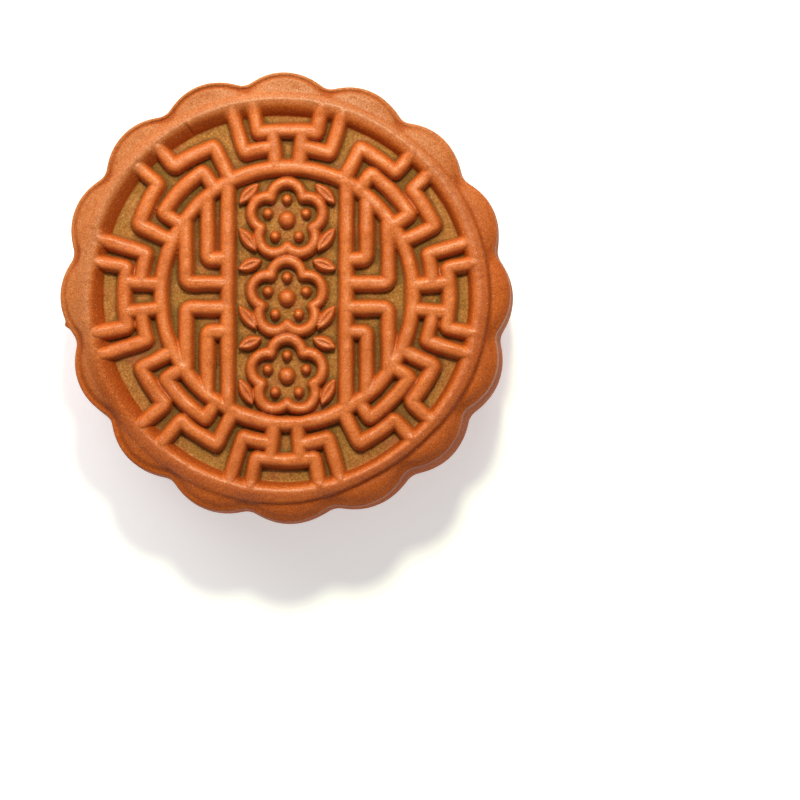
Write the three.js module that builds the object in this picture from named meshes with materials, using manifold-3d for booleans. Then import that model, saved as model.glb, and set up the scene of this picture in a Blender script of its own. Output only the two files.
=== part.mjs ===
// A baked mooncake: one low round cake with a scalloped side. Its top holds a fretwork of rounded
// ridges, pressed by a carved mould, between a broad outer ring and a narrow inner ring, and three
// plum blossoms in an upright panel.
//
// Millimetres, +Z up, with the origin at the centre of the flat underside. Angles on the top are in
// degrees, clockwise from +Y. Sizes of the fretwork are those of the mould.

import * as THREE from 'three';
import { mergeVertices } from 'three/addons/utils/BufferGeometryUtils.js';
import Module from 'manifold-3d';

const wasm = await Module();
wasm.setup();

// The cake: its upper edge at the tip of a scallop, and its height to the crest of the outer ring.
// The scallops turn a little with the mould, which landed off centre.
const edgeRadius = 38.85;
const edgeHeight = 28.4;
const height = 30;
const scallops = 16;
const lobeRoundness = 1.22;
const notchEase = 0.14;
const fluteTurn = -0.5;
const fluteSway = { reach: 1.2, heading: -5 };

// The scallops' depth at the foot, the belly and the upper edge.
const bellyHeight = 14;
const scallopDepth = { foot: 1.1, belly: 1.7, edge: 1.88 };

// How far the belly swells beyond the upper edge: all the way round, and more towards one side.
const swell = { all: 0.6, more: 1.0, heading: 128, width: 32 };

// The side from the foot up and over the lip: the share of the belly's swell, set in, and height.
const sideRows = [
  { share: 1, inset: 3.6, z: 0 },
  { share: 1, inset: 1.9, z: 0.75 },
  { share: 1, inset: 1.0, z: 2.4 },
  { share: 1, inset: 0.3, z: 7 },
  { share: 1, inset: 0, z: bellyHeight },
  { share: 0.3, inset: 0, z: 24.4 },
  { share: 0, inset: 0, z: 28.65 },
  { share: 0, inset: 0.3, z: 28.95 },
];

// The lobes roll down towards one side, and the whole top sags gently towards it.
const roll = { heading: 150, drop: 1.5, reach: 3.6 };
const sag = { heading: 175, drop: 1.1, from: 24, to: 39, power: 1.5 };
const firmTo = 15;

// The recessed ground that the ridges stand on, and the crests of the fretwork, each ridge a hair
// lower than the one before.
const groundHeight = 27.4;
const fretHeight = 2.4;
const fretStagger = 0.03;
const staggerRound = 5;
const ridgeHalfWidth = 1.45;
const ridgeRoot = 0.5;
const ridgeFoot = 1.03;
const ridgeShoulder = { across: 0.7, up: 0.8 };

// How the mould landed: a little off the cake's centre, with the dough drawn out along Y, and the
// fret on one diagonal smeared outward.
const pressShift = new THREE.Vector2(0.55, 0.18);
const pressStretch = 1.0155;
const smear = { angle: 315, reach: 1.3, spread: 14, from: 24, full: 27.5, to: 33 };

// The outer ring, which the dough crept out of shape: at each bearing the radii of the foot of its
// inner wall, its crest and its outer edge, and how far the wall leans back into a straight slant.
const ringRounds = [
  { angle: 0, foot: 30.3, crest: 33.1, edge: 34.0, slant: 0.3 },
  { angle: 25, foot: 30.2, crest: 32.7, edge: 33.6, slant: 0 },
  { angle: 45, foot: 30.4, crest: 32.7, edge: 33.7, slant: 0 },
  { angle: 60, foot: 30.9, crest: 32.8, edge: 34.3, slant: 0 },
  { angle: 90, foot: 31.1, crest: 32.9, edge: 34.7, slant: 0 },
  { angle: 120, foot: 31.2, crest: 32.8, edge: 34.4, slant: 0 },
  { angle: 135, foot: 31.2, crest: 32.5, edge: 33.8, slant: 0 },
  { angle: 155, foot: 31.3, crest: 32.6, edge: 33.8, slant: 0 },
  { angle: 180, foot: 31.5, crest: 33.2, edge: 35.1, slant: 0.1 },
  { angle: 210, foot: 31.7, crest: 33.5, edge: 35.5, slant: 0.4 },
  { angle: 240, foot: 31.5, crest: 34.2, edge: 35.8, slant: 0.8 },
  { angle: 270, foot: 31.4, crest: 34.4, edge: 35.9, slant: 0.9 },
  { angle: 300, foot: 31.9, crest: 34.8, edge: 35.9, slant: 1 },
  { angle: 320, foot: 31.6, crest: 34.2, edge: 35.3, slant: 1 },
  { angle: 340, foot: 30.8, crest: 33.5, edge: 34.6, slant: 0.8 },
  { angle: 360, foot: 30.3, crest: 33.1, edge: 34.0, slant: 0.3 },
];

// The ring's section, from the lobes in. A place is 0 at the foot of the inner wall, 1 on the crest,
// 2 at the outer edge, and one more for each millimetre beyond. A full slant lowers it by the drop.
const ringSection = [
  { place: 2.5, z: 29.2 },
  { place: 2, z: 29.6 },
  { place: 1, z: height },
  { place: 0.5, z: 29.48, drop: 0.42 },
  { place: 0.16, z: 28.4, drop: 0.27 },
  { place: 0, z: groundHeight },
];

// The fretwork, as radii from the mould's centre.
const innerRing = 21.7;
const innerBars = 25.2;
const outerBars = 27.95;
const postShort = 0.4;
const arcStep = 5.5;

// Half-angles of the four frets on the axes, from each axis.
const legAngle = 5.3;
const bridgeAngle = 10.5;
const stepAngle = 17;

// Half-angles of the four frets on the diagonals, from each diagonal.
const prongAngle = 4;
const bracketAngle = 11;
const elbowAngle = 19.3;

// How far each of the eight frets is turned from its true place, clockwise from the one at +Y.
const fretTurns = [0.2, 0.95, 0.8, -0.5, 0.6, -0.15, -0.55, -0.6];

// The upright panel and the hooks on both of its sides.
const panelBar = 10.2;
const outerHook = { across: 17.4, along: 2.1 };
const innerHook = { across: 13.7, along: 6.15 };

// The blossoms in the panel: petals as half rounds, each a little lower than the one before, with a
// bead in each and a boss in the middle.
const blossomSpacing = 13.2;
const blossomDrop = 0.35;
const petals = 5;
const petalReach = 3.62;
const petalRadius = 2.72;
const petalSweep = 90;
const petalHalfWidth = 1.05;
const petalHeight = 2.25;
const petalStagger = 0.03;
const beadReach = 3.45;
const beadRadius = 0.92;
const bossRadius = 1.5;
const domeRows = [
  { share: 1, z: -ridgeRoot },
  { share: 0.85, z: petalHeight * 0.6 },
  { share: 0.4, z: petalHeight * 0.95 },
];

// The leaves that fill the gaps in the panel's right half: the x and y of root and tip.
const leafPlaces = [
  [4.9, 18.9, 8.2, 15.6],
  [5.3, 7.6, 8.2, 11.4],
  [4.4, 6.0, 8.3, 4.4],
  [5.3, -5.6, 8.2, -1.8],
  [4.4, -7.2, 8.3, -8.8],
  [5.9, -18.4, 8.2, -14.2],
];
const leafHalfWidth = 1.2;
const leafHeight = 2.1;
const leafSwell = 0.35;
const leafTaper = 0.35;

const outlineSteps = 128;
const innerRingSteps = 64;
const petalStep = 30;
const bossSteps = 8;
const beadSteps = 6;

const radians = THREE.MathUtils.degToRad;

// A point of the mould, from its polar place.
function polar(radius, angle) {
  return new THREE.Vector2(radius * Math.sin(radians(angle)), radius * Math.cos(radians(angle)));
}

// A share of 0 to 1 that rises smoothly between two ends.
function rising(value, from, to) {
  return THREE.MathUtils.smoothstep(value, from, to);
}

// A point of the mould where it landed on the cake. Only the fret on one diagonal is smeared.
function pressed(point) {
  const radius = point.length();
  const turn = Math.atan2(point.x, point.y) - radians(smear.angle);
  const off = Math.atan2(Math.sin(turn), Math.cos(turn)) / radians(smear.spread);
  const band = rising(radius, smear.from, smear.full) * (1 - rising(radius, smear.full, smear.to));
  const pulled = point.clone().setLength(radius + smear.reach * band * Math.exp(-off * off));
  return new THREE.Vector2(pulled.x, pulled.y * pressStretch).add(pressShift);
}

// Points along an arc, both ends included.
function arc(radius, from, to) {
  const steps = Math.max(1, Math.round(Math.abs(to - from) / arcStep));
  return Array.from({ length: steps + 1 }, (_, i) => polar(radius, from + ((to - from) * i) / steps));
}

// Where an angle of an even fluted mould comes on the cake.
function swayed(angle) {
  return angle + fluteTurn + fluteSway.reach * Math.cos(radians(angle - fluteSway.heading));
}

// How far the outline falls in at an angle: 0 at a scallop's tip, and 1 in the notch between two.
function notch(angle) {
  const even = 2 * angle - swayed(angle);
  const offTip = 2 * Math.abs(THREE.MathUtils.euclideanModulo((even * scallops) / 360 + 0.5, 1) - 0.5);
  const dip = lobeRoundness * offTip ** 2;
  return (dip + 1 - Math.hypot(dip - 1, notchEase)) / 2;
}

// The slow waviness of a hand-shaped cake: a little oval and a little three-sided.
function unevenness(angle) {
  const oval = 0.16 * Math.cos(radians(2 * (angle + 46)));
  const threeSided = 0.31 * Math.cos(radians(3 * (angle + 41)));
  return oval + threeSided - 0.09;
}

// The angle from a heading, -180 to 180.
function offHeading(angle, heading) {
  return THREE.MathUtils.euclideanModulo(angle - heading + 180, 360) - 180;
}

// How far the belly stands out beyond the upper edge at an angle.
function bellySwell(angle) {
  const off = offHeading(angle, swell.heading) / swell.width;
  return swell.all + swell.more * Math.exp(-off * off);
}

// The scalloped outline at an angle, for scallops of a depth.
function outlineRadius(angle, depth) {
  return edgeRadius + unevenness(angle) - depth * notch(angle);
}

// The scallops' depth at a height of the side.
function depthAt(z) {
  const { foot, belly, edge } = scallopDepth;
  if (z < bellyHeight) return THREE.MathUtils.mapLinear(z, 0, bellyHeight, foot, belly);
  return Math.min(edge, THREE.MathUtils.mapLinear(z, bellyHeight, edgeHeight, belly, edge));
}

// How far the top lies below its true height at a point of the cake, by its rolled lobes and sag.
function topDrop(point) {
  const angle = THREE.MathUtils.radToDeg(Math.atan2(point.x, point.y));
  const facing = (heading) => (1 + Math.cos(radians(angle - heading))) / 2;
  const radius = point.length();
  const inward = (outlineRadius(angle, scallopDepth.edge) - radius) / roll.reach;
  const rolled = roll.drop * facing(roll.heading) * Math.min(1, Math.max(0, 1 - inward)) ** 2;
  const out = THREE.MathUtils.clamp((radius - sag.from) / (sag.to - sag.from), 0, 1);
  return rolled + sag.drop * facing(sag.heading) * out ** sag.power;
}

// The outer ring at an angle, between the nearest two of its rounds.
function ringAt(angle) {
  const turn = THREE.MathUtils.euclideanModulo(angle, 360);
  const next = Math.max(1, ringRounds.findIndex((round) => round.angle >= turn));
  const [low, high] = [ringRounds[next - 1], ringRounds[next]];
  const share = (turn - low.angle) / (high.angle - low.angle);
  const between = (name) => THREE.MathUtils.lerp(low[name], high[name], share);
  return { foot: between('foot'), crest: between('crest'), edge: between('edge'), slant: between('slant') };
}

// The radius of a place of the ring's section at an angle.
function ringRadius(place, angle) {
  const { foot, crest, edge } = ringAt(angle);
  if (place > 2) return edge + place - 2;
  return place > 1 ? crest + (place - 1) * (edge - crest) : foot + place * (crest - foot);
}

// Closes a stack of loops, all of the same number of points, into one geometry. An end that isn't
// already a ring round on itself is capped by a fan.
function skin(loops, { ring = false } = {}) {
  const count = loops[0].length;
  const positions = loops.flat().flatMap((point) => point.toArray());
  const faces = [];
  const bands = ring ? loops.length : loops.length - 1;
  for (let row = 0; row < bands; row += 1) {
    const next = (row + 1) % loops.length;
    for (let i = 0; i < count; i += 1) {
      const j = (i + 1) % count;
      const corners = [row * count + i, row * count + j, next * count + j, next * count + i];
      faces.push(corners[0], corners[1], corners[2], corners[0], corners[2], corners[3]);
    }
  }
  const cap = (row, outward) => {
    const centre = new THREE.Vector3();
    loops[row].forEach((point) => centre.add(point));
    centre.divideScalar(count);
    const hub = positions.length / 3;
    positions.push(...centre.toArray());
    for (let i = 0; i < count; i += 1) {
      const pair = [row * count + i, row * count + ((i + 1) % count)];
      faces.push(hub, ...(outward ? pair : pair.reverse()));
    }
  };
  if (!ring) {
    cap(0, false);
    cap(loops.length - 1, true);
  }
  const geometry = new THREE.BufferGeometry();
  geometry.setAttribute('position', new THREE.Float32BufferAttribute(positions, 3));
  geometry.setIndex(faces);
  return geometry;
}

function toSolid(geometry) {
  geometry.deleteAttribute('normal');
  geometry.deleteAttribute('uv');
  const merged = mergeVertices(geometry);
  const vertProperties = new Float32Array(merged.attributes.position.array);
  const triVerts = new Uint32Array(merged.index.array);
  return new wasm.Manifold(new wasm.Mesh({ numProp: 3, vertProperties, triVerts }));
}

function toGeometry(solid) {
  const { vertProperties, triVerts } = solid.getMesh();
  const geometry = new THREE.BufferGeometry();
  geometry.setAttribute('position', new THREE.BufferAttribute(vertProperties, 3));
  geometry.setIndex(new THREE.BufferAttribute(triVerts, 1));
  geometry.computeVertexNormals();
  return geometry;
}

// The cake without its fretwork: loops up the side and over the lip, in across the ring, and over
// the ground to where the top no longer sags.
function cakeBody() {
  const evenAngles = Array.from({ length: outlineSteps }, (_, i) => (-360 * i) / outlineSteps);
  const angles = evenAngles.map(swayed);
  const sideLoops = sideRows.map(({ share, inset, z }) =>
    angles.map((angle) => {
      const radius = outlineRadius(angle, depthAt(z)) + share * bellySwell(angle) - inset;
      const place = polar(radius, angle);
      return new THREE.Vector3(...place, z - topDrop(place) * rising(z, firmTo, edgeHeight));
    }),
  );
  const ringLoops = ringSection.map(({ place, z, drop = 0 }) =>
    angles.map((angle) => {
      const ownPlace = polar(ringRadius(place, angle), angle);
      const landed = new THREE.Vector2(ownPlace.x, ownPlace.y * pressStretch).add(pressShift);
      return new THREE.Vector3(...landed, z - drop * ringAt(angle).slant - topDrop(landed));
    }),
  );
  const flatLoop = angles.map((angle) => new THREE.Vector3(...polar(sag.from, angle), groundHeight));
  return toSolid(skin([...sideLoops, ...ringLoops, flatLoop]));
}

// A rounded ridge of the mould's pattern along a path. Its root is sunk in the ground.
function ridge(path, { closed = false, halfWidth = ridgeHalfWidth, rise = fretHeight, taper = 1 } = {}) {
  const { across: shoulder, up } = ridgeShoulder;
  const section = [
    [-ridgeFoot, -ridgeRoot],
    [-shoulder, rise * up],
    [0, rise],
    [shoulder, rise * up],
    [ridgeFoot, -ridgeRoot],
  ];
  const last = path.length - 1;
  const loops = path.map((point, i) => {
    const before = closed ? path[(i + last) % path.length] : path[Math.max(0, i - 1)];
    const after = closed ? path[(i + 1) % path.length] : path[Math.min(last, i + 1)];
    const inward = before.equals(point) ? after.clone().sub(point) : point.clone().sub(before);
    const outward = after.equals(point) ? inward.clone() : after.clone().sub(point);
    const along = inward.normalize().clone().add(outward.normalize()).normalize();
    const mitre = 1 / Math.max(0.5, along.dot(inward));
    const across = new THREE.Vector2(along.y, -along.x);
    const width = halfWidth * mitre * (!closed && (i === 0 || i === last) ? taper : 1);
    return section.map(([u, z]) => {
      const place = pressed(point.clone().addScaledVector(across, u * width));
      return new THREE.Vector3(...place, groundHeight + z - topDrop(place));
    });
  });
  return toSolid(skin(loops, { ring: closed }));
}

// A ridge of the fretwork, by its place in the row of them.
function fret(path, i) {
  return ridge(path, { rise: fretHeight - fretStagger * (1 + (i % staggerRound)) });
}

// The end of a post, just short of the crest of the outer ring.
function postTip(turn) {
  return polar(ringAt(turn).crest - postShort, turn);
}

// A fret on an axis: a bridge on two legs, its ends running out to the outer ring, and a step on
// each side of the legs that runs out beside them.
function axisFret(turn) {
  const bridge = [
    postTip(turn - bridgeAngle),
    ...arc(outerBars, turn - bridgeAngle, turn + bridgeAngle),
    postTip(turn + bridgeAngle),
  ];
  const sides = [-1, 1].flatMap((side) => [
    [polar(innerRing, turn + side * legAngle), polar(outerBars, turn + side * legAngle)],
    [
      ...arc(innerBars, turn + side * legAngle, turn + side * stepAngle),
      postTip(turn + side * stepAngle),
    ],
  ]);
  return [bridge, ...sides];
}

// A fret on a diagonal: two elbows that step outward from the inner ring to a prong on the outer
// ring, and a bracket between them on the inner ring.
function diagonalFret(turn) {
  const elbows = [-1, 1].map((side) => [
    polar(innerRing, turn + side * elbowAngle),
    ...arc(outerBars, turn + side * elbowAngle, turn + side * prongAngle),
    postTip(turn + side * prongAngle),
  ]);
  const bracket = [
    polar(innerRing, turn - bracketAngle),
    ...arc(innerBars, turn - bracketAngle, turn + bracketAngle),
    polar(innerRing, turn + bracketAngle),
  ];
  return [...elbows, bracket];
}

// The two bars of the panel, and in each quarter an outer and an inner hook from ring to bar.
function panelFrame() {
  const onRing = (across) => Math.sqrt(innerRing ** 2 - across ** 2);
  const paths = [];
  for (const right of [-1, 1]) {
    const end = onRing(panelBar);
    paths.push([new THREE.Vector2(right * panelBar, -end), new THREE.Vector2(right * panelBar, end)]);
    for (const up of [-1, 1]) {
      for (const { across, along } of [outerHook, innerHook]) {
        paths.push([
          new THREE.Vector2(right * across, up * onRing(across)),
          new THREE.Vector2(right * across, up * along),
          new THREE.Vector2(right * panelBar, up * along),
        ]);
      }
    }
  }
  return paths.map(fret);
}

// A round dome whose root is sunk in the ground.
function dome(centre, radius, steps) {
  const loops = domeRows.map(({ share, z }) =>
    Array.from({ length: steps }, (_, i) => {
      const place = pressed(polar(radius * share, (-360 * i) / steps).add(centre));
      return new THREE.Vector3(...place, groundHeight + z - topDrop(place));
    }),
  );
  return toSolid(skin(loops));
}

// A plum blossom: five petals, each a half round ridge about a bead, and a boss in the middle.
function blossom(centre) {
  const turns = Array.from({ length: petals }, (_, i) => (360 * i) / petals);
  const rounds = turns.map((turn, i) => {
    const middle = polar(petalReach, turn).add(centre);
    const path = [];
    for (let sweep = -petalSweep; sweep <= petalSweep; sweep += petalStep) {
      path.push(polar(petalRadius, turn + sweep).add(middle));
    }
    return ridge(path, { halfWidth: petalHalfWidth, rise: petalHeight - petalStagger * i });
  });
  const beads = turns.map((turn) => dome(polar(beadReach, turn).add(centre), beadRadius, beadSteps));
  return [...rounds, ...beads, dome(centre, bossRadius, bossSteps)];
}

// A leaf: one ridge, widest in the middle and narrow at its root and tip.
function leaf([rootX, rootY, tipX, tipY], right) {
  const root = new THREE.Vector2(right * rootX, rootY);
  const tip = new THREE.Vector2(right * tipX, tipY);
  const path = [0, leafSwell, 1 - leafSwell, 1].map((share) => root.clone().lerp(tip, share));
  return ridge(path, { halfWidth: leafHalfWidth, rise: leafHeight, taper: leafTaper });
}

function panelFlowers() {
  const blossoms = [-1, 0, 1].flatMap((row) =>
    blossom(new THREE.Vector2(0, row * blossomSpacing - blossomDrop)),
  );
  const leaves = [-1, 1].flatMap((right) => leafPlaces.map((place) => leaf(place, right)));
  return [...blossoms, ...leaves];
}

function mooncake() {
  const frets = fretTurns.flatMap((turn, eighth) =>
    eighth % 2 ? diagonalFret(eighth * 45 + turn) : axisFret(eighth * 45 + turn),
  );
  const ringPath = Array.from({ length: innerRingSteps }, (_, i) =>
    polar(innerRing, (360 * i) / innerRingSteps),
  );
  const raised = [
    ridge(ringPath, { closed: true }),
    ...frets.map(fret),
    ...panelFrame(),
    ...panelFlowers(),
  ];
  return raised.reduce((cake, piece) => cake.add(piece), cakeBody());
}

const crust = new THREE.MeshStandardMaterial({ color: 0xc46a32, roughness: 0.55, metalness: 0 });
const cake = new THREE.Mesh(toGeometry(mooncake()), crust);
cake.name = 'mooncake';

const group = new THREE.Group();
group.add(cake);
export default group;
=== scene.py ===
import bpy
import numpy as np
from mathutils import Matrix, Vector


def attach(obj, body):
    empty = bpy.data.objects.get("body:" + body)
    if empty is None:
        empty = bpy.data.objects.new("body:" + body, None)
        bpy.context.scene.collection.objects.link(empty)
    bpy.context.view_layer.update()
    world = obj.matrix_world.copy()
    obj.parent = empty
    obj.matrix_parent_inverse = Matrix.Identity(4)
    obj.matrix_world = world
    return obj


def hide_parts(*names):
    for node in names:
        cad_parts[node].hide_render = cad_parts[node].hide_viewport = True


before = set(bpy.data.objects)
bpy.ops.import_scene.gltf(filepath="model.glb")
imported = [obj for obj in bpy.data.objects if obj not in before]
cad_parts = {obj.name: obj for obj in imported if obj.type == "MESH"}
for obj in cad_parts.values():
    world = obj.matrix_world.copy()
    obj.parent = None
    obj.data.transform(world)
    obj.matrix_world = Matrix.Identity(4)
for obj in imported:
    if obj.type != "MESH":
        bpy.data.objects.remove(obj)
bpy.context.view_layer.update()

# ---------------------------------------------------------------------------------------------
# The mooncake: a ball of filled dough, pressed into a fluted round mould with a carved plate,
# knocked out and baked in one piece, with scallops down its side and the plate's pattern on top.
# ---------------------------------------------------------------------------------------------
# The side: scallops, sharpest at the upper edge, that swell and soften at the belly.
scallops = 16
edge_radius = 0.03876
edge_depth, belly_depth, foot_depth = 0.00188, 0.00170, 0.00110
lobe_roundness, notch_ease = 1.22, 0.14
edge_height = 0.0284
flute_turn, flute_sway, sway_heading = -0.5, 1.2, -5

# The cake is a little out of round: a bit oval, and a bit three-sided.
oval_out, oval_heading = 0.00016, -46
three_sided_out, three_sided_heading = 0.00031, -41

# The belly swells beyond the upper edge all the way round, and more at the lower right.
swell_all, swell_more, swell_heading, swell_width = 0.0006, 0.0010, 128, 32
belly_height = 0.0140

# The side from the upper edge to the foot: its share of the belly's swell, set in, and height.
side_profile = [
    (0.00, 0.00000, 0.02840),
    (0.02, 0.00000, 0.02760),
    (0.16, 0.00000, 0.02560),
    (0.68, 0.00000, 0.02050),
    (1.00, 0.00000, belly_height),
    (1.00, 0.00030, 0.00700),
    (1.00, 0.00100, 0.00240),
    (1.00, 0.00190, 0.00075),
    (1.00, 0.00300, 0.00012),
    (1.00, 0.00430, 0.00000),
]
side_rows = 22


def polar(radius, angle):
    """Points from radii and angles, in degrees clockwise from +Y."""
    turn = np.radians(angle)
    return np.stack(np.broadcast_arrays(radius * np.sin(turn), radius * np.cos(turn)), axis=-1)


def bearing(points):
    """The angle of each point, in degrees clockwise from +Y."""
    return np.degrees(np.arctan2(points[..., 0], points[..., 1]))


def rising(value, low, high):
    """A share of 0 to 1 that rises smoothly from low to high."""
    share = np.clip((value - low) / (high - low), 0, 1)
    return share * share * (3 - 2 * share)


def hump(value, middle, width):
    """A smooth bump of height 1 round a middle."""
    return np.exp(-(((value - middle) / width) ** 2))


def waviness(points, length, seed, waves=14):
    """Slow, irregular waves over the cake, about -1 to 1, from seeded plane waves of one length."""
    draw = np.random.default_rng(seed)
    total = np.zeros(len(points))
    for _ in range(waves):
        heading, phase = draw.uniform(0, 2 * np.pi, 2)
        pace = 2 * np.pi / (length * draw.uniform(0.7, 1.5))
        across = points[:, 0] * np.cos(heading) + points[:, 1] * np.sin(heading)
        total += np.sin(pace * across + phase)
    return total / np.sqrt(waves / 2) / 1.6


def uneven(points, rows, level=0.0):
    """A level with waves of several lengths on it: each row is a height, a length and a seed."""
    return sum((rise * waviness(points, length, seed) for rise, length, seed in rows), level)


def notch(angle):
    """How far the outline falls in: 0 at a scallop's tip, 1 in the notch between two."""
    own_angle = angle - flute_turn - flute_sway * np.cos(np.radians(angle - sway_heading))
    off_tip = 2 * np.abs((own_angle * scallops / 360 + 0.5) % 1 - 0.5)
    dip = lobe_roundness * off_tip**2
    return (dip + 1 - np.sqrt((dip - 1) ** 2 + notch_ease**2)) / 2


# A crumb of dough left standing on the upper edge.
burr_angle, burr_width, burr_out, burr_foot = 262.5, 0.75, 0.00050, 0.0262


def burr(angle, height):
    """How far the crumb stands out at an angle and a height."""
    return burr_out * hump(angle % 360, burr_angle, burr_width) * rising(height, burr_foot, edge_height)


def outline_radius(angle, depth, swell=0.0, inset=0.0):
    """The scalloped outline, a little uneven because it is shaped by hand."""
    oval = oval_out * np.cos(np.radians(2 * (angle - oval_heading)))
    three_sided = three_sided_out * np.cos(np.radians(3 * (angle - three_sided_heading)))
    off_heading = (angle - swell_heading + 180) % 360 - 180
    belly = swell * (swell_all + swell_more * hump(off_heading, 0, swell_width))
    return edge_radius + oval + three_sided + belly - inset - depth * notch(angle)


def eased_profile(knots, passes, count):
    """A smooth run of points through a profile: its corners are cut again and again."""
    run = np.array(knots)
    for _ in range(passes):
        inner = np.stack([0.75 * run[:-1] + 0.25 * run[1:], 0.25 * run[:-1] + 0.75 * run[1:]], axis=1)
        run = np.concatenate([run[:1], inner.reshape(-1, run.shape[1]), run[-1:]])
    steps = np.linalg.norm(np.diff(run[:, -2:], axis=0), axis=1)
    travelled = np.concatenate([[0], np.cumsum(steps)])
    stops = np.linspace(0, travelled[-1], count)
    return np.stack([np.interp(stops, travelled, column) for column in run.T], axis=1)


# The pressed top. The mould's plate leaves a broad outer ring, a fretwork of rounded ridges round
# a narrow inner ring, and an upright panel. It landed a little off the middle, and the dough
# crept towards the upper left when the cake was knocked out.
press_shift = np.array([0.00055, 0.00018])
press_stretch = np.array([1.0, 1.0155])
smear_angle, smear_reach, smear_spread = 315, 0.00130, 14
smear_from, smear_full, smear_to = 0.0240, 0.0275, 0.0330

ground_height = 0.0274
fret_height = 0.00240
ridge_half_width = 0.00145
inner_ring = 0.0217
inner_bars = 0.0252
outer_bars = 0.02795
leg_angle, bridge_angle, step_angle = 5.3, 10.5, 17
prong_angle, bracket_angle, elbow_angle = 4, 11, 19.3
fret_turns = [0.2, 0.95, 0.8, -0.5, 0.6, -0.15, -0.55, -0.6]
panel_bar = 0.0102
hooks = [(0.0174, 0.0021), (0.0137, 0.00615)]
corner_ease = 0.0010

# The ridges are a little uneven in width and height, and dough fills the creases beside them.
width_waves = [(0.05, 0.011, 3), (0.03, 0.004, 4)]
crest_waves = [(0.030, 0.008, 5)]
crease_fill, bead_fill, wall_fill = 0.00012, 0.00010, 0.00020

# The posts run up the ring's wall: they narrow and rise there, and stop just short of its crest,
# and further short where the crest lies far out.
post_taper, post_rise = 0.20, 0.08
tip_short, far_out, far_short = 0.0004, 0.0332, 0.5

# The waves of the ground, and of the whole top.
ground_waves = [(0.00008, 0.012, 8), (0.00003, 0.003, 9)]
top_waves = [(0.00004, 0.005, 11), (0.000012, 0.0016, 12)]

# The outer ring round the cake: the bearings, and there the radii of the foot of its inner wall,
# its crest and its outer edge, how crisply that edge drops into the groove beside the lobes, and
# how far the wall leans back into a straight slant.
ring_turns = [0, 25, 45, 60, 90, 120, 135, 155, 180, 210, 240, 270, 300, 320, 340]
ring_foot = [30.3, 30.2, 30.4, 30.9, 31.1, 31.2, 31.2, 31.3, 31.5, 31.7, 31.5, 31.4, 31.9, 31.6, 30.8]
ring_crest = [33.1, 32.7, 32.7, 32.8, 32.9, 32.8, 32.5, 32.6, 33.2, 33.5, 34.2, 34.4, 34.8, 34.2, 33.5]
ring_edge = [34.0, 33.6, 33.7, 34.3, 34.7, 34.4, 33.8, 33.8, 35.1, 35.5, 35.8, 35.9, 35.9, 35.3, 34.6]
ring_crisp = [0.2, 0.25, 0.3, 0.45, 0.8, 0.9, 0.9, 0.8, 0.5, 0.25, 0.1, 0.1, 0.1, 0.1, 0.15]
ring_slant = [0.3, 0.0, 0.0, 0.0, 0.0, 0.0, 0.0, 0.0, 0.1, 0.4, 0.8, 0.9, 1.0, 1.0, 0.8]

# How much lower the wall lies where it leans back, between its foot and its crest.
slant_drop = 0.00050

# A fold in the dough: up to it the ring's crest draws inward, and there it steps out again.
fold_from, fold_full, fold_angle, fold_ease, fold_step = 262, 284, 289, 0.5, 0.75

# A nick across the ring's wall, with a little of its dough pushed up beside it.
nick_angle, nick_width, nick_depth = 329.5, 0.00024, 0.00045
nick_from, nick_deep_from, nick_deep_to, nick_to = 0.0318, 0.0324, 0.0337, 0.0345
nick_lip, nick_lip_off = 0.3, 1.8

# Drag lines over the ring's crest, from the mould as it let go.
drag_waves, drag_radius = [(0.000022, 0.0013, 21)], 0.0330

# The ring's section: places of 0 at the wall's foot, 1 at the crest, 2 at the outer edge and one
# more for each millimetre beyond, and heights; once with a soft outer edge, once with a crisp one.
wall_section = [
    (-2.0, 0.02740), (-0.04, 0.02740), (0.04, 0.02746), (0.12, 0.02810), (0.28, 0.02892),
    (0.50, 0.02948), (0.75, 0.02985), (1.00, 0.03000), (1.30, 0.02998),
]
soft_edge = [
    (1.60, 0.02985), (2.00, 0.02955), (2.50, 0.02925), (3.20, 0.02908), (4.50, 0.02905), (9.0, 0.02905),
]
crisp_edge = [
    (1.60, 0.02984), (1.88, 0.02966), (1.99, 0.02966), (2.06, 0.02955), (2.18, 0.02900),
    (2.34, 0.02882), (2.70, 0.02896), (3.30, 0.02907), (4.50, 0.02905), (9.0, 0.02905),
]

# The lobes between the ring and the outline: their rounded edge, and the thin groove inside it
# where the mould's parts met. A wide groove grows inward.
lip_radius = 0.00033
parting_in, parting_drop = 0.00076, 0.00026
parting_narrowest, parting_inward = 0.00022, 0.6
parting_turns = [0, 23, 46, 68, 90, 113, 135, 180, 203, 225, 247, 268, 292, 312, 335]
parting_depth = [0.8, 0.8, 0.35, 0.1, 0.1, 0.3, 0.3, 0.15, 0.6, 1.0, 1.1, 0.6, 0.8, 0.8, 1.1]
parting_width = [0.22, 0.22, 0.22, 0.22, 0.22, 0.3, 0.3, 0.3, 0.42, 0.48, 0.46, 0.32, 0.24, 0.24, 0.26]

# The lobes sink a little outside the groove and at each notch, and roll down towards one side.
margin_drop, margin_width = 0.00008, 0.0005
hollow_drop, hollow_in, hollow_width = 0.00022, 0.0006, 0.0010
roll_heading, roll_drop, roll_reach = 150, 0.00150, 0.0036

# The whole top sags gently towards one side, where the dough settled in the oven.
sag_heading, sag_drop, sag_from, sag_to = 175, 0.00110, 0.0240, 0.0390

# Where the top is painted darker: painted shade in the thin groove and the notches, on the ring's wall,
# most where it leans back, and in the groove outside its crisp edge; and a darker stretch of its crest.
parting_shade_off, parting_shade_width = 0.15, 1.25
notch_shading, notch_shade_in, notch_shade_width = 0.9, 0.0011, 0.0008
slant_shading = 1.7
crisp_shading, crisp_shade_place, crisp_shade_width = 1.8, 2.3, 0.40
patch_darkening, patch_heading, patch_width = 0.7, 243, 16


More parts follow.
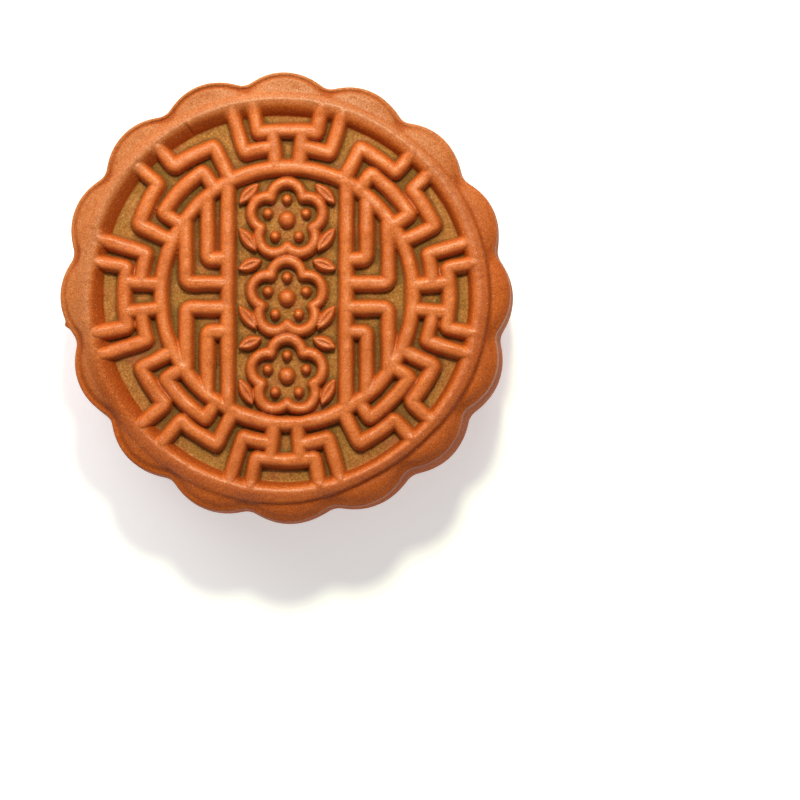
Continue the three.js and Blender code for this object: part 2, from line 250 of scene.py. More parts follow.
def round_way(angle, turns, values):
    """A value that runs smoothly round the cake through the ones given at a few bearings."""
    around = np.arange(-60, 421)
    weight = np.hanning(29) / np.hanning(29).sum()
    eased = np.convolve(np.interp(around, turns, values, period=360), weight, mode="same")
    return np.interp(angle % 360, around, eased)


def landed(points):
    """Where points of the mould came down on the cake."""
    return points * press_stretch + press_shift


def smeared(points):
    """Where points of the fretwork came down: as landed, but drawn out on one diagonal."""
    radius = np.linalg.norm(points, axis=1)
    turn = (bearing(points) - smear_angle + 180) % 360 - 180
    band = rising(radius, smear_from, smear_full) * (1 - rising(radius, smear_full, smear_to))
    pull = smear_reach * band * np.exp(-((turn / smear_spread) ** 2))
    return landed(points * ((radius + pull) / np.maximum(radius, 1e-9))[:, None])


def arc(radius, start, end):
    """Points along an arc, about a degree and a half apart."""
    steps = max(1, round(abs(end - start) / 1.5))
    return list(polar(radius, np.linspace(start, end, steps + 1)))


# A path's corners are rounded unless they hardly turn, and its runs are cut into short pieces.
nearly_straight, most_eased, bend_steps, path_piece = 0.9, 0.45, 5, 0.0008


def eased_path(points, ease):
    """A path with its corners rounded, and its long runs cut short enough to bend."""
    points = np.array(points)
    run = [points[0]]
    for before, corner, after in zip(points, points[1:], points[2:]):
        back, ahead = before - corner, after - corner
        back_length, ahead_length = np.linalg.norm(back), np.linalg.norm(ahead)
        if back @ ahead < -nearly_straight * back_length * ahead_length:
            run.append(corner)
            continue
        start = corner + back * min(most_eased, ease / back_length)
        end = corner + ahead * min(most_eased, ease / ahead_length)
        for t in np.linspace(0, 1, bend_steps + 1):
            run.append((1 - t) ** 2 * start + 2 * t * (1 - t) * corner + t**2 * end)
    run.append(points[-1])
    fine = [run[0]]
    for before, after in zip(run, run[1:]):
        pieces = max(1, int(np.ceil(np.linalg.norm(after - before) / path_piece)))
        fine += [before + (after - before) * (k + 1) / pieces for k in range(pieces)]
    return np.array(fine)


def post_tip(turn):
    """The end of a post, just short of the crest of the outer ring."""
    crest = 0.001 * round_way(turn, ring_turns, ring_crest)
    return polar(crest - tip_short - far_short * max(0.0, crest - far_out), turn)


def axis_fret(turn):
    """A bridge on two legs whose ends run out to the outer ring, with a step beside each leg."""
    left, right = turn - bridge_angle, turn + bridge_angle
    paths = [[post_tip(left), *arc(outer_bars, left, right), post_tip(right)]]
    for side in (-1, 1):
        leg, step = turn + side * leg_angle, turn + side * step_angle
        paths.append([polar(inner_ring, leg), polar(outer_bars, leg)])
        paths.append([*arc(inner_bars, leg, step), post_tip(step)])
    return paths


def diagonal_fret(turn):
    """Two elbows that step out from the inner ring to a prong, and a bracket between them."""
    paths = []
    for side in (-1, 1):
        elbow, prong = turn + side * elbow_angle, turn + side * prong_angle
        paths.append([polar(inner_ring, elbow), *arc(outer_bars, elbow, prong), post_tip(prong)])
    low, high = turn - bracket_angle, turn + bracket_angle
    paths.append([polar(inner_ring, low), *arc(inner_bars, low, high), polar(inner_ring, high)])
    return paths


def panel_frame():
    """The panel's two bars, and in each quarter two hooks from the inner ring to a bar."""
    paths = []
    for right in (-1, 1):
        end = np.sqrt(inner_ring**2 - panel_bar**2)
        paths.append([np.array([right * panel_bar, -end]), np.array([right * panel_bar, end])])
        for up in (-1, 1):
            for across, along in hooks:
                start = np.sqrt(inner_ring**2 - across**2)
                corners = [(across, start), (across, along), (panel_bar, along)]
                paths.append([np.array([right * x, up * y]) for x, y in corners])
    return paths


# Plum blossoms in the panel: an outline of five round petals, a bead in each petal and a boss.
blossom_spacing = 0.0132
blossom_drop = 0.00035
petals = 5
petal_reach, petal_radius, petal_sweep = 0.00362, 0.00272, 86
petal_half_width, petal_height = 0.00105, 0.00225
bead_reach, bead_radius = 0.00345, 0.00092
boss_radius = 0.00150


def blossom_outline(middle):
    """The closed path round a blossom's petals."""
    sweep = np.linspace(-petal_sweep, petal_sweep, 13)
    turns = 360 * np.arange(petals) / petals
    around = [polar(petal_reach, turn) + polar(petal_radius, turn + sweep) for turn in turns]
    return np.concatenate([*around, around[0][:1]]) + middle


# The leaves in the panel's right half, in millimetres: root x, root y, tip x, tip y.
leaf_places = [
    (4.9, 18.9, 8.2, 15.6),
    (5.3, 7.6, 8.2, 11.4),
    (4.4, 6.0, 8.3, 4.4),
    (5.3, -5.6, 8.2, -1.8),
    (4.4, -7.2, 8.3, -8.8),
    (5.9, -18.4, 8.2, -14.2),
]
leaf_half_width, leaf_height, leaf_fullness = 0.00125, 0.00210, 0.7
vein_half_width, vein_depth = 0.00028, 0.00040

# Every ridge: its path on the cake, its half width at the foot, and its height.
ridges = []
for corner, fret_turn in enumerate(fret_turns):
    turn = 45 * corner + fret_turn
    for path in diagonal_fret(turn) if corner % 2 else axis_fret(turn):
        ridges.append((eased_path(path, corner_ease), ridge_half_width, fret_height))
ridges.append((np.array(arc(inner_ring, 0, 360)), ridge_half_width, fret_height))
for path in panel_frame():
    ridges.append((eased_path(path, corner_ease), ridge_half_width, fret_height))
beads = []
for row in (-1, 0, 1):
    middle = np.array([0, row * blossom_spacing - blossom_drop])
    ridges.append((blossom_outline(middle), petal_half_width, petal_height))
    beads.append((middle, boss_radius))
    for i in range(petals):
        beads.append((middle + polar(bead_reach, 360 * i / petals), bead_radius))


def sagged(points):
    """How far the top lies below its true height at points of the cake."""
    towards = (1 + np.cos(np.radians(bearing(points) - sag_heading))) / 2
    radius = np.linalg.norm(points, axis=1)
    return sag_drop * towards * np.clip((radius - sag_from) / (sag_to - sag_from), 0, 1) ** 1.5


def path_distance(points, path):
    """The distance from each point to a path of short straight runs."""
    nearest = np.full(len(points), np.inf)
    for start, end in zip(path, path[1:]):
        run = end - start
        share = np.clip(((points - start) @ run) / (run @ run), 0, 1)
        nearest = np.minimum(nearest, np.linalg.norm(points - start - share[:, None] * run, axis=1))
    return nearest


# How flat the top of a ridge's section is, and how full its shoulders are.
crown_flatness, crown_fullness = 3.2, 0.62


def crown(share):
    """The section of a ridge from its crest at 0 to its foot at 1: round, then steep."""
    return np.maximum(1 - np.clip(share, 0, 1) ** crown_flatness, 0) ** crown_fullness


def merged(low, high, blend):
    """The higher of two heights, with the crease between them filled a little."""
    gap = np.maximum(blend - np.abs(low - high), 0)
    return np.maximum(low, high) + gap * gap / (4 * blend)


def fretwork(points, ring_place):
    """The height of the ridges above the ground at points of the cake."""
    height = np.zeros(len(points))
    swell = uneven(points, width_waves, 1.0)
    swell *= 1 - post_taper * rising(ring_place, 0.1, 1.0)
    crest = uneven(points, crest_waves, 1.0) + post_rise * rising(ring_place, 0.1, 0.8)
    for path, half_width, rise in ridges:
        pressed = smeared(path)
        margin = 1.2 * half_width
        low, high = pressed.min(axis=0) - margin, pressed.max(axis=0) + margin
        near = np.flatnonzero(np.all((points > low) & (points < high), axis=1))
        share = path_distance(points[near], pressed) / (half_width * swell[near])
        height[near] = merged(height[near], rise * crest[near] * crown(share), crease_fill)
    for middle, radius in beads:
        share = np.linalg.norm(points - landed(middle), axis=1) / radius
        height = merged(height, petal_height * crown(share), bead_fill)
    for right in (-1, 1):
        for root_x, root_y, tip_x, tip_y in leaf_places:
            root = landed(0.001 * np.array([right * root_x, root_y]))
            run = landed(0.001 * np.array([right * tip_x, tip_y])) - root
            along = ((points - root) @ run) / (run @ run)
            across = np.abs((points - root) @ np.array([run[1], -run[0]])) / np.linalg.norm(run)
            belly = np.sin(np.pi * np.clip(along, 0, 1)) ** leaf_fullness
            leaf = leaf_height * crown(across / np.maximum(leaf_half_width * belly, 1e-7))
            leaf -= vein_depth * hump(across, 0, vein_half_width) * belly**2
            height = np.maximum(height, np.where(belly > 0, leaf, 0))
    return height


def ring_place_of(points):
    """Where points lie on the outer ring's section, and how crisp and how slanted it is there."""
    own = (points - press_shift) / press_stretch
    radius, angle = 1000 * np.linalg.norm(own, axis=1), bearing(own)
    foot, crest, edge, crisp = (
        round_way(angle, ring_turns, row) for row in (ring_foot, ring_crest, ring_edge, ring_crisp)
    )
    turn = angle % 360
    drawn_in = rising(turn, fold_from, fold_full)
    drawn_in *= 1 - rising(turn, fold_angle - fold_ease, fold_angle + fold_ease)
    crest = crest - fold_step * drawn_in
    place = np.where(radius < edge, 1 + (radius - crest) / (edge - crest), 2 + radius - edge)
    place = np.where(radius < crest, (radius - foot) / (crest - foot), place)
    slant = round_way(angle, ring_turns, ring_slant)
    slant *= rising(place, 0, 0.3) * (1 - rising(place, 0.3, 1.1))
    return place, crisp, slant


soft_run = eased_profile(wall_section + soft_edge, 3, 900)
crisp_run = eased_profile(wall_section + crisp_edge, 3, 900)


def edge_distance(points):
    """The distance of points from the scalloped outline of the upper edge, square to it."""
    angle, half_degree = bearing(points), 0.5
    rim = outline_radius(angle, edge_depth)
    lean = (outline_radius(angle + half_degree, edge_depth) - rim) / (rim * np.radians(half_degree))
    return (rim - np.linalg.norm(points, axis=1)) / np.sqrt(1 + lean**2)


def pressed_top(points):
    """At points of the cake: the pressed top's height, its share of ridge, and how far it is painted
    darker.
    """
    place, crisp, slant = ring_place_of(points)
    ring = (1 - crisp) * np.interp(place, soft_run[:, 0], soft_run[:, 1])
    ring += crisp * np.interp(place, crisp_run[:, 0], crisp_run[:, 1]) - slant_drop * slant
    ground_wave = uneven(points, ground_waves)
    ring += ground_wave * (1 - rising(place, 0, 0.6))
    frets = fretwork(points, place)
    height = merged(ring, ground_height + ground_wave + frets, wall_fill)

    # The nick and the drag lines.
    own = points - press_shift
    own_angle, own_radius = bearing(own) % 360, np.linalg.norm(own, axis=1)
    off_nick = np.radians(own_angle - nick_angle) * own_radius
    nick = rising(own_radius, nick_from, nick_deep_from) * (1 - rising(own_radius, nick_deep_to, nick_to))
    height -= nick_depth * nick * hump(off_nick, 0, nick_width)
    height += nick_lip * nick_depth * nick * hump(off_nick, nick_lip_off * nick_width, nick_width)
    drag = uneven(polar(drag_radius, own_angle), drag_waves)
    height += drag * rising(place, 0.5, 0.9) * (1 - rising(place, 1.5, 3.0))
    height += uneven(points, top_waves)

    # The lobes, with the thin groove inside their edge.
    inward, angle = edge_distance(points), bearing(points)
    valley, outward = notch(angle), rising(place, 2.0, 2.8)
    roll = (1 + np.cos(np.radians(angle - roll_heading))) / 2
    height -= roll_drop * roll * np.clip(1 - inward / roll_reach, 0, 1) ** 2
    height -= outward * hollow_drop * valley**2 * hump(inward, hollow_in, hollow_width)
    height -= outward * margin_drop * np.exp(-np.maximum(inward - parting_in, 0) / margin_width)
    parting = round_way(angle, parting_turns, parting_depth)
    width = 0.001 * round_way(angle, parting_turns, parting_width)
    off_line = (inward - parting_in - parting_inward * (width - parting_narrowest)) / width
    height -= parting_drop * parting * hump(off_line, 0, 1)
    corner = np.clip(1 - inward / lip_radius, 0, 1)
    height -= lip_radius * (1 - np.sqrt(np.clip(1 - corner**2, 0, 1)))

    # The painted shade and darkening, of the wall only between the frets.
    painted_darkening = parting * hump(off_line, parting_shade_off, parting_shade_width)
    painted_darkening += outward * notch_shading * valley**3 * hump(inward, notch_shade_in, notch_shade_width)
    bare = 1 - np.clip(1.4 * frets / fret_height, 0, 1)
    wall = rising(place, 0, 0.1) * (1 - rising(place, 0.3, 0.8))
    painted_darkening += bare * (slant_shading * slant * rising(place, 0, 0.1) + wall * (1 - slant))
    painted_darkening += crisp_shading * crisp * hump(place, crisp_shade_place, crisp_shade_width)
    on_ring = rising(place, 0.2, 1) * (1 - rising(place, 1.7, 2.6))
    painted_darkening += patch_darkening * hump(own_angle, patch_heading, patch_width) * on_ring
    return height - sagged(points), frets / fret_height, painted_darkening


# The mesh: a round patch of fine squares for the pressed top, rows across the lobes and the lip,
# rows down the side, and a coarser patch for the foot; then thinned where it is flat.
patch_cells = 332
patch_radius = 0.0347
lobe_rows = 12
lip_rows, lip_band, lip_crowding = 11, 0.00125, 1.3
foot_cells = patch_cells // 4
mesh_triangles = 198000


def round_patch(cells):
    """Points of a square net drawn out to a unit disc, and its edge's indices, clockwise from +Y."""
    u, v = np.meshgrid(np.linspace(-1, 1, cells + 1), np.linspace(-1, 1, cells + 1), indexing="ij")
    sideways = np.abs(u) > np.abs(v)
    safe_u, safe_v = np.where(u == 0, 1, u), np.where(v == 0, 1, v)
    radius = np.where(sideways, u, v)
    turn = np.where(sideways, 90 - 45 * v / safe_u, 45 * u / safe_v)
    turn = np.where((u == 0) & (v == 0), 0, turn)
    disc = polar(radius, turn).reshape(-1, 2)
    index = np.arange((cells + 1) ** 2).reshape(cells + 1, cells + 1)
    half = cells // 2
    edge = np.concatenate([
        index[half:-1, -1], index[-1, :0:-1], index[:0:-1, 0], index[0, :-1], index[:half, -1],
    ])
    squares = np.stack([index[:-1, :-1], index[1:, :-1], index[1:, 1:], index[:-1, 1:]], axis=-1)
    return disc, edge, squares.reshape(-1, 4)


disc, patch_edge, patch_squares = round_patch(patch_cells)
patch_points = landed(disc * patch_radius)
columns = len(patch_edge)
column_angle = 360 * np.arange(columns) / columns
start_point = patch_points[patch_edge]
edge_point = polar(outline_radius(column_angle, edge_depth) + burr(column_angle, edge_height), column_angle)
band_point = edge_point + (start_point - edge_point) * (
    lip_band / np.linalg.norm(start_point - edge_point, axis=1)
)[:, None]
narrow_there = np.linalg.norm(start_point - edge_point, axis=1) < 1.4 * lip_band
band_point[narrow_there] = 0.5 * (start_point + edge_point)[narrow_there]

top_points = [patch_points]
for row in range(1, lobe_rows + 1):
    top_points.append(start_point + (band_point - start_point) * row / lobe_rows)
for row in range(1, lip_rows + 1):
    share = 1 - (1 - row / lip_rows) ** lip_crowding
    top_points.append(band_point + (edge_point - band_point) * share)
top_points = np.concatenate(top_points)
top_height, ridge_share, top_darkening = pressed_top(top_points)

# Rows down the side and round the foot, on every second column. They follow the upper edge where it
# sags, down to a height where the side is even again.
side_waves = [(0.00010, 0.006, 31)]
even_below = 0.0150
side_angle = column_angle[::2]
rim_height = top_height[-columns::2]
side_run = eased_profile(side_profile, 3, side_rows + 1)[1:]
side_points, side_heights = [], []
for swell, inset, height in side_run:
    depth = np.interp(height, [0, belly_height, edge_height], [foot_depth, belly_depth, edge_depth])
    radius = outline_radius(side_angle, depth, swell, inset)
    radius = uneven(polar(0.01, side_angle) + height, side_waves, radius)
    radius = radius + burr(side_angle, height)
    side_points.append(polar(radius, side_angle))
    side_heights.append(height + (rim_height - edge_height) * rising(height, even_below, edge_height))

# The underside stands a little hollow, as it shrank in the oven.
foot_in, foot_hollow = 0.0050, 0.00025
foot_waves = [(0.3, 0.012, 41)]
foot_disc, foot_edge, foot_squares = round_patch(foot_cells)
foot_angle = bearing(foot_disc)
foot_share = np.linalg.norm(foot_disc, axis=1)
foot_rim = outline_radius(foot_angle, foot_depth * foot_share, 1.0, foot_in)
foot_points = polar(foot_share * foot_rim, foot_angle)
foot_heights = foot_hollow * (1 - foot_share**2) * uneven(foot_points, foot_waves, 1.0)

vertices = [np.column_stack([top_points, top_height])]
faces = [tuple(square) for square in patch_squares]


def join(upper, lower):
    """Joins a row to the next one with squares, or with triangles to one with half as many points."""
    for i in range(len(lower)):
        j = (i + 1) % len(lower)
        if len(upper) == len(lower):
            faces.append((upper[i], upper[j], lower[j], lower[i]))
            continue
        left, middle, right = upper[2 * i], upper[2 * i + 1], upper[2 * j]
        faces.extend([(left, middle, lower[i]), (middle, lower[j], lower[i]), (middle, right, lower[j])])


last_row = patch_edge
count = len(patch_points)
for _ in range(lobe_rows + lip_rows):
    next_row = np.arange(count, count + columns)
    join(last_row, next_row)
    last_row = next_row
    count += columns
for points, height in zip(side_points, side_heights):
    next_row = np.arange(count, count + len(points))
    vertices.append(np.column_stack([points, height]))
    join(last_row, next_row)
    last_row = next_row
    count += len(points)
vertices.append(np.column_stack([foot_points, foot_heights]))
faces += [tuple(square[::-1] + count) for square in foot_squares]
join(last_row, count + foot_edge)

places = np.concatenate(vertices)
cake_mesh = bpy.data.meshes.new("mooncake_crust")
cake_mesh.from_pydata(places.tolist(), [], [[int(i) for i in face] for face in faces])
cake_mesh.validate()


def spread(grid):
    """A grid with each cell raised to the greatest of its neighbours."""
    padded = np.pad(grid, 1, mode="edge")
    sides = [padded[:-2, 1:-1], padded[2:, 1:-1], padded[1:-1, :-2], padded[1:-1, 2:], grid]
    return np.max(sides, axis=0)


def softened(grid, passes):
    """A grid blurred by averaging neighbours again and again."""
    for _ in range(passes):
        padded = np.pad(grid, 1, mode="edge")
        grid = (padded[:-2, 1:-1] + padded[2:, 1:-1] + 2 * grid) / 4
        padded = np.pad(grid, 1, mode="edge")
        grid = (padded[1:-1, :-2] + padded[1:-1, 2:] + 2 * grid) / 4
    return grid


def mark(name, values):
    """Stores a value at each point of the mesh, for the crust's colours; the rest stay at 0."""
    stored = np.zeros(len(places), np.float32)
    stored[: len(values)] = values
    cake_mesh.attributes.new(name, "FLOAT", "POINT").data.foreach_set("value", stored)


# How deep each place lies among ridges, from 0 in the open to about 1 in a narrow slot, and how close it
# lies beside one, both for painted shade; how far it is painted darker; and how many millimetres it stands
# above the ground.
shelter_passes, beside_passes = 34, 5
side_cells = patch_cells + 1
ridge_grid = ridge_share[: side_cells**2].reshape(side_cells, side_cells)
mark("shelter", softened(ridge_grid, shelter_passes).reshape(-1))
mark("beside", softened(ridge_grid, beside_passes).reshape(-1))
mark("painted_darkening", top_darkening)
lift = places[:, 2] - ground_height
lift[: len(top_points)] += sagged(top_points)
mark("lift", 1000 * lift)

# The mesh is thinned everywhere but along the feet of the ridges, where shade and colour change.
cake = bpy.data.objects.new("mooncake_crust", cake_mesh)
bpy.context.scene.collection.objects.link(cake)
at_foot = (ridge_grid > 0.02) & (ridge_grid < 0.40)
free = np.ones(len(places), bool)
free[: side_cells**2] = spread(at_foot.astype(float)).reshape(-1) == 0
group = cake.vertex_groups.new(name="free_to_thin")
group.add([int(i) for i in np.flatnonzero(free)], 1.0, "REPLACE")
fine_triangles = sum(len(polygon.vertices) - 2 for polygon in cake_mesh.polygons)
thinning = cake.modifiers.new("thinning", "DECIMATE")
thinning.ratio = mesh_triangles / fine_triangles
thinning.vertex_group = "free_to_thin"
thinning.vertex_group_factor = 0.0
thinned = bpy.data.meshes.new_from_object(cake.evaluated_get(bpy.context.evaluated_depsgraph_get()))
cake.modifiers.clear()
cake.vertex_groups.clear()
cake.data = thinned
thinned.shade_smooth()

crust = bpy.data.materials.new("baked_crust")
crust.use_nodes = True
nodes, links = crust.node_tree.nodes, crust.node_tree.links
nodes.clear()


def node(kind, **settings):
    """A node with its inputs and its own settings given by name."""
    made = nodes.new(kind)
    for name, value in settings.items():
        if name in made.inputs:
            made.inputs[name].default_value = value
        else:
            setattr(made, name, value)
    return made


def mixed(low, high, share, blend="MIX"):
    """A colour between two, each a plain colour or another node's output, by a share."""
    made = node("ShaderNodeMix", data_type="RGBA", blend_type=blend)
    for slot, value in ((6, low), (7, high), (0, share)):
        if isinstance(value, bpy.types.NodeSocket):
            links.new(value, made.inputs[slot])
        elif slot == 0:
            made.inputs[slot].default_value = value
        else:
            made.inputs[slot].default_value = (*value, 1)
    return made.outputs[2]


def between(source, low, high, out_low=0.0, out_high=1.0, smooth=True):
    """A value eased from one range to another."""
    made = node("ShaderNodeMapRange", interpolation_type="SMOOTHSTEP" if smooth else "LINEAR")
    links.new(source, made.inputs["Value"])
    for name, value in (("From Min", low), ("From Max", high), ("To Min", out_low), ("To Max", out_high)):
        made.inputs[name].default_value = value
    return made.outputs["Result"]


def figured(operation, first, second):
    """One value worked out from two."""
    made = node("ShaderNodeMath", operation=operation)
    for slot, value in ((0, first), (1, second)):
        if isinstance(value, bpy.types.NodeSocket):
            links.new(value, made.inputs[slot])
        else:
            made.inputs[slot].default_value = value
    return made.outputs["Value"]


def noise(scale, detail=3.0, rough=0.6):
    """A soft speckle through the dough, from 0 to 1."""
    made = node("ShaderNodeTexNoise", Scale=scale, Detail=detail, Roughness=rough)
    links.new(on_cake, made.inputs["Vector"])
    return made.outputs["Fac"]


def stored(name):
    """A value stored at each point of the mesh."""
    return node("ShaderNodeAttribute", attribute_name=name).outputs["Fac"]


out = node("ShaderNodeOutputMaterial")
shader = node("ShaderNodeBsdfPrincipled")
links.new(shader.outputs["BSDF"], out.inputs["Surface"])
on_cake = node("ShaderNodeTexCoord").outputs["Object"]
split = node("ShaderNodeSeparateXYZ")
links.new(on_cake, split.inputs["Vector"])
from_axis = node("ShaderNodeVectorMath", operation="LENGTH")
flat_place = node("ShaderNodeCombineXYZ")
links.new(split.outputs["X"], flat_place.inputs["X"])
links.new(split.outputs["Y"], flat_place.inputs["Y"])
links.new(flat_place.outputs["Vector"], from_axis.inputs["Vector"])
off_axis = from_axis.outputs["Value"]
height_above = split.outputs["Z"]

# The parts of the cake: the top inside the ring, the ground between the ridges, all of the top,
# and the crests and feet of the ridges.
standing = stored("lift")
inside = between(off_axis, 0.0335, 0.0345, 1.0, 0.0)
ground = figured("MULTIPLY", inside, between(standing, 0.10, 0.42, 1.0, 0.0))
raised = figured("MAXIMUM", inside, between(height_above, 0.0270, 0.0284))
crest = between(standing, 1.50, 2.40)
ridge_foot = figured("MULTIPLY", inside, between(standing, 0.15, 1.20, 1.0, 0.0))
painted_darkening = stored("painted_darkening")

patches = noise(95, 3)
mottle = noise(750, 4)
grain = noise(3400, 3, 0.7)
flecks = noise(5200, 1)
crumbs = noise(2300, 2, 0.6)
pores = noise(2600, 1)

# The ridges: orange brown, more so in mottles; paler on their crests and darker down their flanks,
# partly for the egg wash and partly as painted light and shade; and painted shade at their feet.
flank_dull, flank_bright = (0.40, 0.072, 0.0075), (0.44, 0.084, 0.0095)
crest_dull, crest_bright = (0.48, 0.101, 0.0115), (0.525, 0.117, 0.0145)
ridge_mottle, foot_shade = (0.50, 0.098, 0.0090), (0.28, 0.052, 0.0070)
flank_colour = mixed(flank_dull, flank_bright, between(patches, 0.35, 0.65))
crest_colour = mixed(crest_dull, crest_bright, between(patches, 0.35, 0.65))
ridge_colour = mixed(flank_colour, crest_colour, crest)
ridge_colour = mixed(ridge_colour, ridge_mottle, between(mottle, 0.52, 0.72, 0.0, 0.55))
ridge_colour = mixed(ridge_colour, foot_shade, figured("MULTIPLY", ridge_foot, 0.65))

# The ground: dry, olive brown and crumbly, with painted shade in narrow slots and close beside a ridge.
ground_dull, ground_bright = (0.33, 0.122, 0.030), (0.41, 0.164, 0.045)
ground_olive = (0.30, 0.142, 0.030)
crumb_pale, crumb_dark = (0.58, 0.360, 0.180), (0.17, 0.070, 0.018)
slot_shade, beside_shade = (0.11, 0.057, 0.014), (0.12, 0.046, 0.011)
ground_colour = mixed(ground_dull, ground_bright, between(mottle, 0.38, 0.62))
ground_colour = mixed(ground_colour, ground_olive, between(patches, 0.42, 0.58, 0.0, 0.6))
ground_colour = mixed(ground_colour, crumb_pale, between(crumbs, 0.60, 0.70, 0.0, 0.40))
ground_colour = mixed(ground_colour, crumb_dark, between(crumbs, 0.44, 0.36, 0.0, 0.5))
ground_colour = mixed(ground_colour, slot_shade, between(stored("shelter"), 0.18, 0.42, 0.0, 0.74))
ground_colour = mixed(ground_colour, beside_shade, between(stored("beside"), 0.06, 0.36, 0.0, 0.55))

# The ring's crest and the lobes: duller than the ridges, and painted paler towards the lamps' side, as
# painted light and sheen.
lit_side_heading = 330
rim_dull, rim_bright = (0.40, 0.078, 0.0105), (0.44, 0.092, 0.0130)
lit_rim_dull, lit_rim_bright = (0.38, 0.109, 0.0290), (0.42, 0.126, 0.0360)
rim_mottle, darkening_colour = (0.38, 0.080, 0.0090), (0.27, 0.045, 0.0060)
towards_lit_side = node("ShaderNodeVectorMath", operation="DOT_PRODUCT")
towards_lit_side.inputs[1].default_value = (*polar(1 / 0.039, lit_side_heading), 0)
links.new(flat_place.outputs["Vector"], towards_lit_side.inputs[0])
rim_colour = mixed(rim_dull, rim_bright, between(patches, 0.35, 0.65))
lit_rim_colour = mixed(lit_rim_dull, lit_rim_bright, between(patches, 0.35, 0.65))
rim_colour = mixed(rim_colour, lit_rim_colour, between(towards_lit_side.outputs["Value"], -0.5, 0.5))
rim_colour = mixed(rim_colour, rim_mottle, between(mottle, 0.52, 0.72, 0.0, 0.5))
ridge_colour = mixed(ridge_colour, rim_colour, between(off_axis, 0.0318, 0.0345))
# Painted shade in the grooves, the notches and on the ring's wall, and one darker stretch of the ring.
ridge_colour = mixed(ridge_colour, darkening_colour, between(painted_darkening, 0.05, 1.2, 0.0, 0.80))

# The side, and over all of the crust its grain, its pores and, on what stands up, bright flecks.
side_bright, side_dull = (0.40, 0.084, 0.0115), (0.33, 0.064, 0.0085)
grain_dark, grain_light = (0.77, 0.62, 0.54), (1.22, 1.34, 1.42)
pore_brown, fleck_pale = (0.20, 0.040, 0.0080), (0.86, 0.70, 0.50)
side_colour = mixed(side_bright, side_dull, between(patches, 0.4, 0.7))
top_colour = mixed(ridge_colour, ground_colour, ground)
colour = mixed(side_colour, top_colour, raised)
grain_shade = mixed(grain_dark, grain_light, between(grain, 0.36, 0.64, 0.0, 1.0, smooth=False))
colour = mixed(colour, grain_shade, 1.0, "MULTIPLY")
colour = mixed(colour, pore_brown, between(pores, 0.66, 0.74, 0.0, 0.55))
sparkle = figured("MULTIPLY", between(flecks, 0.73, 0.77), between(standing, 0.9, 1.6))
colour = mixed(colour, fleck_pale, figured("MULTIPLY", sparkle, 0.7))
links.new(colour, shader.inputs["Base Color"])

# The dough itself is nearly matt, and drier in the ground, where painted darker and down the side.
rough = between(grain, 0.36, 0.64, 0.66, 0.50, smooth=False)
links.new(figured("ADD", rough, figured("MULTIPLY", ground, 0.2)), shader.inputs["Roughness"])
dry = figured("MAXIMUM", ground, between(off_axis, 0.0340, 0.0365))
dry = figured("MAXIMUM", dry, between(painted_darkening, 0.0, 0.7))
gloss = between(dry, 0.0, 1.0, 0.30, 0.12, smooth=False)
gloss = figured("MULTIPLY", gloss, between(height_above, 0.0240, 0.0272, 0.3, 1.0))
links.new(gloss, shader.inputs["Specular IOR Level"])

# The egg wash, brushed over what stands up.
glazed = between(ground, 0.0, 1.0, 0.68, 0.0, smooth=False)
glazed = figured("MULTIPLY", glazed, between(painted_darkening, 0.0, 0.6, 1.0, 0.0))
glazed = figured("MULTIPLY", glazed, between(off_axis, 0.0335, 0.0360, 1.0, 0.4))
glazed = figured("MULTIPLY", glazed, between(height_above, 0.0240, 0.0272))
links.new(glazed, shader.inputs["Coat Weight"])
links.new(between(grain, 0.36, 0.64, 0.46, 0.30, smooth=False), shader.inputs["Coat Roughness"])

# Fine bumps in the dough, fainter under the egg wash.
bumps = figured("ADD", figured("MULTIPLY", grain, 0.6), figured("MULTIPLY", mottle, 0.8))
bump = node("ShaderNodeBump", Strength=0.6, Distance=0.00016)
links.new(bumps, bump.inputs["Height"])
links.new(bump.outputs["Normal"], shader.inputs["Normal"])
glaze_bump = node("ShaderNodeBump", Strength=0.40, Distance=0.00016)
links.new(bumps, glaze_bump.inputs["Height"])
links.new(glaze_bump.outputs["Normal"], shader.inputs["Coat Normal"])

thinned.materials.append(crust)
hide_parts("mooncake")
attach(cake, "root")

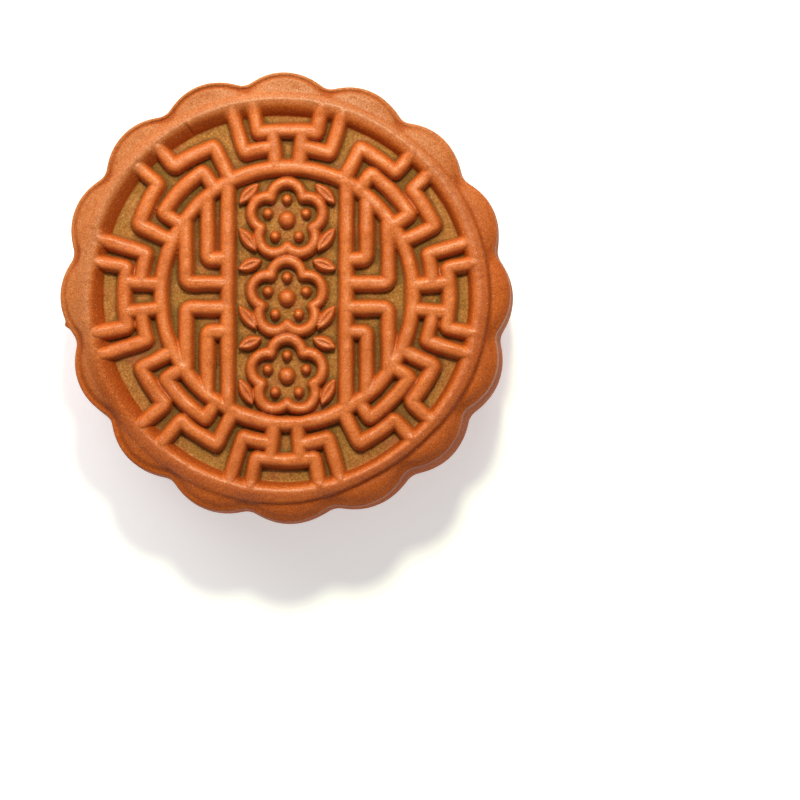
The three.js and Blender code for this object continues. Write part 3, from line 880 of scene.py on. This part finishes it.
# ---------------------------------------------------------------------------------------------
# The studio: a plain pale floor that glows a little, one large soft lamp at the upper left, a small
# one high up for the gloss on the crests, and the camera straight above.
# ---------------------------------------------------------------------------------------------
floor_mesh = bpy.data.meshes.new("floor")
floor_reach = 1.5
floor_corners = [(x * floor_reach, y * floor_reach, 0) for x, y in ((-1, -1), (1, -1), (1, 1), (-1, 1))]
floor_mesh.from_pydata(floor_corners, [], [(0, 1, 2, 3)])
floor = bpy.data.objects.new("floor", floor_mesh)
bpy.context.scene.collection.objects.link(floor)
pale = bpy.data.materials.new("pale_floor")
pale.use_nodes = True
pale_shader = pale.node_tree.nodes["Principled BSDF"]
pale_shader.inputs["Base Color"].default_value = (0.90, 0.90, 0.90, 1)
pale_shader.inputs["Roughness"].default_value = 0.8
pale_shader.inputs["Emission Color"].default_value = (0.95, 0.98, 1.0, 1)
pale_shader.inputs["Emission Strength"].default_value = 0.45
floor_mesh.materials.append(pale)

aim = Vector((0, 0, 0.025))


def hang(lamp_data, spot):
    """Hangs a lamp at a spot, facing the cake."""
    lamp = bpy.data.objects.new(lamp_data.name, lamp_data)
    lamp.location = spot
    lamp.rotation_euler = (aim - lamp.location).to_track_quat("-Z", "Y").to_euler()
    bpy.context.scene.collection.objects.link(lamp)
    return lamp


key_bearing, key_elevation, key_distance = 340, 30, 0.25
key_out = polar(key_distance * np.cos(np.radians(key_elevation)), key_bearing)
key_up = key_distance * np.sin(np.radians(key_elevation))
key_data = bpy.data.lights.new("key_lamp", "AREA")
key_data.shape = "RECTANGLE"
key_data.size, key_data.size_y = 0.40, 0.30
key_data.energy = 0.92
key = hang(key_data, aim + Vector((*key_out, key_up)))
key.visible_glossy = False

sheen_bearing, sheen_distance, sheen_height = 5, 0.20, 0.40
sheen_data = bpy.data.lights.new("sheen_lamp", "AREA")
sheen_data.shape = "DISK"
sheen_data.size = 0.06
sheen_data.energy = 1.6
sheen_data.color = (0.95, 1.0, 0.68)
hang(sheen_data, (*polar(sheen_distance, sheen_bearing), sheen_height))

world = bpy.data.worlds.new("studio")
world.use_nodes = True
world.node_tree.nodes["Background"].inputs["Color"].default_value = (1.0, 0.95, 0.88, 1)
world.node_tree.nodes["Background"].inputs["Strength"].default_value = 0.29
bpy.context.scene.world = world
bpy.context.scene.view_settings.view_transform = "Standard"

camera_data = bpy.data.cameras.new("camera")
camera_data.sensor_width = 36
camera_data.lens = 153.5
camera = bpy.data.objects.new("camera", camera_data)
camera.location = (0.01997, -0.01777, 0.615)
bpy.context.scene.collection.objects.link(camera)
bpy.context.scene.camera = camera
